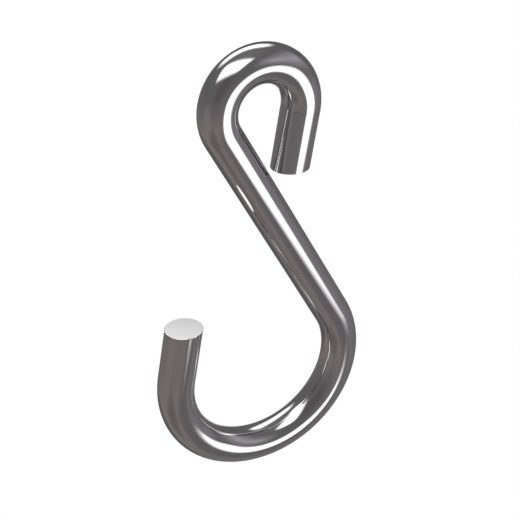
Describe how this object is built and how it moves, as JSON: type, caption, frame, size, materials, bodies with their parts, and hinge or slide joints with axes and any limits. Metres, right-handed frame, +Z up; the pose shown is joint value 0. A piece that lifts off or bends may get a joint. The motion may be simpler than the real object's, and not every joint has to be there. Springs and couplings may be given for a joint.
{
  "type": "s hook",
  "caption": "S hook bent from one polished round steel bar: a narrow upper eye almost closed on the shank, and a wide open lower hook that carries the load.",
  "frame": {"origin": "bearing point at the top of the inside of the upper eye, where the hook hangs", "axes": "+Z up along the load line through both bend centres; the hook lies in the XZ plane with the upper end on +X and the lower end on -X; +Y across the bar"},
  "size_m": [0.0484, 0.008, 0.0983],
  "materials": {
    "polished_steel": "mirror polished, with flat ground ends"
  },
  "bodies": {
    "root": {"hook": "polished_steel"}
  },
  "joints": []
}
